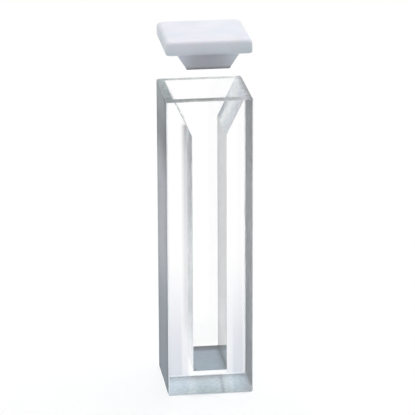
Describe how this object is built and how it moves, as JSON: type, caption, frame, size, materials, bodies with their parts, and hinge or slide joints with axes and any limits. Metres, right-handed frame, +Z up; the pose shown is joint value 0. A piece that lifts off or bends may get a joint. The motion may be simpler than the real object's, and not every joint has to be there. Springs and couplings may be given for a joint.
{
  "type": "cuvette",
  "caption": "Tall square glass cell with polished windows front and back, a narrow chamber under a funnel mouth, and a loose square lid with a tapered plug.",
  "frame": {"origin": "centre of the cell's foot, on the surface that it stands on", "axes": "+Z up the cell to its mouth; X across the side blocks; Y along the light path, with the front window towards -Y"},
  "size_m": [0.0126, 0.0126, 0.0537],
  "materials": {
    "polished_glass": "clear optical glass, polished flat",
    "ground_glass": "optical glass, finely ground on its outer face, clear where it meets the windows",
    "white_ptfe": "white PTFE, waxy and slightly translucent"
  },
  "bodies": {
    "cell": {"front_window": "polished_glass", "back_window": "polished_glass", "left_side_block": "ground_glass", "right_side_block": "ground_glass", "base_block": "ground_glass"},
    "lid": {"lid": "white_ptfe"}
  },
  "joints": [
    {"name": "lid_lift", "type": "slide", "parent": "cell", "child": "lid", "axis": [0, 0, 1], "range_m": [-0.0066, 0.0084]}
  ]
}
